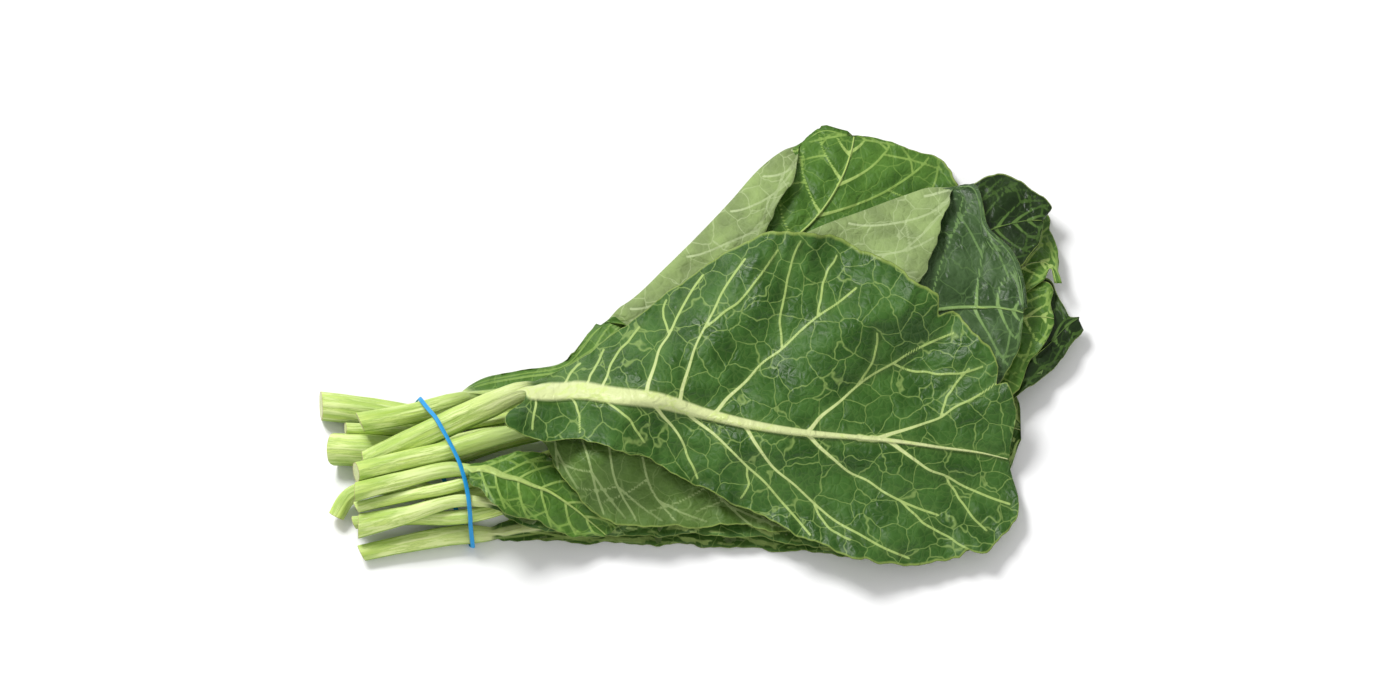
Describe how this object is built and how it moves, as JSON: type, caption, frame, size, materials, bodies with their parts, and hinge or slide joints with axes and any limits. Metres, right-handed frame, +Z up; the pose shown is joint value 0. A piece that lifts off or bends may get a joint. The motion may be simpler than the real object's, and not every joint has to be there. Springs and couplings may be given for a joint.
{
  "type": "bunch of collard greens",
  "caption": "Bunch of fresh collard greens lying down, broad veined leaves on pale stems tied with a rubber band.",
  "frame": {"origin": "centre of the bottom of the bunch's box, on the table", "axes": "+X from the cut stems towards the leaf tips, +Y towards the back of the bunch, +Z up from the table"},
  "size_m": [0.409, 0.2754, 0.053],
  "materials": {
    "leaf_green": "fresh leaf, waxy satin, pale veins",
    "leaf_dark": "fresh dark leaf, waxy satin, green veins",
    "leaf_pale": "pale matt underside of a leaf",
    "band_blue": "smooth stretched rubber"
  },
  "bodies": {
    "root": {"bottom_leaf": "leaf_green", "hidden_leaf": "leaf_green", "front_leaf": "leaf_green", "corner_leaf": "leaf_dark", "inner_leaf": "leaf_green", "back_leaf": "leaf_green", "torn_leaf": "leaf_green", "curling_leaf": "leaf_dark", "folded_leaf": "leaf_dark", "small_leaf": "leaf_green", "underside_leaf": "leaf_pale", "top_leaf": "leaf_green", "rubber_band": "band_blue"}
  },
  "joints": []
}
